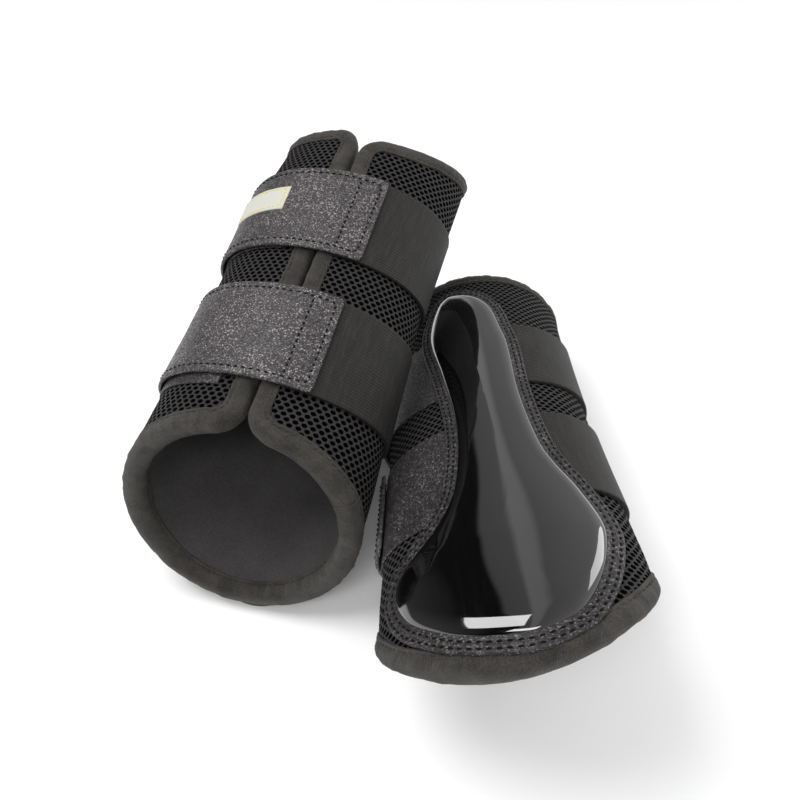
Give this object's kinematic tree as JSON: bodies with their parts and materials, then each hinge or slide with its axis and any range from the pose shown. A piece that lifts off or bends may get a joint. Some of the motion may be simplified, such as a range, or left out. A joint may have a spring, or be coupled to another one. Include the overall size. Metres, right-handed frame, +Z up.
{
  "type": "tendon boots",
  "caption": "Pair of horse tendon boots: mesh-covered neoprene shells with a glossy strike pad, elastic straps and peel-open tabs.",
  "frame": {"origin": "middle of the pair's footprint, on the floor that the boots lie on", "axes": "+Z up from the floor, +Y from the open bottom ends towards the tops, +X from the left boot to the right one"},
  "size_m": [0.2185, 0.3162, 0.146],
  "materials": {
    "spacer_mesh": "open spacer mesh",
    "neoprene_lining": "smooth matt knit",
    "edge_tape": "soft satin woven tape",
    "glitter_fabric": "fine glitter",
    "foam": "closed-cell foam",
    "gloss_pad": "high gloss",
    "elastic": "ribbed elastic webbing",
    "hook_tape": "hook tape",
    "loop_fabric": "brushed loop fabric",
    "woven_label": "plain woven label"
  },
  "bodies": {
    "right_shell": {"right_outer_mesh": "spacer_mesh", "right_lining": "neoprene_lining", "right_edge_binding": "edge_tape", "right_pad_border": "glitter_fabric", "right_pad_foam_core": "foam", "right_strike_pad": "gloss_pad", "right_upper_strap_elastic": "elastic", "right_lower_strap_elastic": "elastic", "right_upper_strap_landing_patch": "loop_fabric", "right_lower_strap_landing_patch": "loop_fabric"},
    "right_flap": {"right_flap_mesh": "spacer_mesh", "right_flap_lining": "neoprene_lining", "right_flap_binding": "edge_tape"},
    "right_upper_tab": {"right_upper_strap_elastic_end": "elastic", "right_upper_strap_tab": "glitter_fabric", "right_upper_strap_hook_tape": "hook_tape", "right_label": "woven_label"},
    "right_lower_tab": {"right_lower_strap_elastic_end": "elastic", "right_lower_strap_tab": "glitter_fabric", "right_lower_strap_hook_tape": "hook_tape"},
    "left_shell": {"left_outer_mesh": "spacer_mesh", "left_lining": "neoprene_lining", "left_edge_binding": "edge_tape", "left_pad_border": "glitter_fabric", "left_pad_foam_core": "foam", "left_strike_pad": "gloss_pad", "left_upper_strap_elastic": "elastic", "left_lower_strap_elastic": "elastic", "left_upper_strap_landing_patch": "loop_fabric", "left_lower_strap_landing_patch": "loop_fabric"},
    "left_flap": {"left_flap_mesh": "spacer_mesh", "left_flap_lining": "neoprene_lining", "left_flap_binding": "edge_tape"},
    "left_upper_tab": {"left_upper_strap_elastic_end": "elastic", "left_upper_strap_tab": "glitter_fabric", "left_upper_strap_hook_tape": "hook_tape", "left_label": "woven_label"},
    "left_lower_tab": {"left_lower_strap_elastic_end": "elastic", "left_lower_strap_tab": "glitter_fabric", "left_lower_strap_hook_tape": "hook_tape"}
  },
  "joints": [
    {"name": "left_boot_lift", "type": "slide", "parent": "right_shell", "child": "left_shell", "axis": [0, 0, 1], "range_m": [0, 0.15]},
    {"name": "right_flap_bend", "type": "hinge", "parent": "right_shell", "child": "right_flap", "pos_m": [0.08896, -0.02349, 0.03151], "axis": [0.0013, -0.9842, 0.177], "range_deg": [0, 50]},
    {"name": "right_upper_tab_peel", "type": "hinge", "parent": "right_flap", "child": "right_upper_tab", "pos_m": [0.08929, 0.01045, 0.02507], "axis": [0.0013, -0.9842, 0.177], "range_deg": [0, 66]},
    {"name": "right_lower_tab_peel", "type": "hinge", "parent": "right_flap", "child": "right_lower_tab", "pos_m": [0.08938, -0.06244, 0.03817], "axis": [0.0013, -0.9842, 0.177], "range_deg": [0, 66]},
    {"name": "left_flap_bend", "type": "hinge", "parent": "left_shell", "child": "left_flap", "pos_m": [-0.00101, 0.01929, 0.11264], "axis": [0.2579, 0.9196, 0.2962], "range_deg": [0, 50]},
    {"name": "left_upper_tab_peel", "type": "hinge", "parent": "left_flap", "child": "left_upper_tab", "pos_m": [0.00811, 0.05083, 0.12326], "axis": [0.2579, 0.9196, 0.2962], "range_deg": [0, 66]},
    {"name": "left_lower_tab_peel", "type": "hinge", "parent": "left_flap", "child": "left_lower_tab", "pos_m": [-0.01098, -0.01725, 0.10133], "axis": [0.2579, 0.9196, 0.2962], "range_deg": [0, 66]}
  ]
}
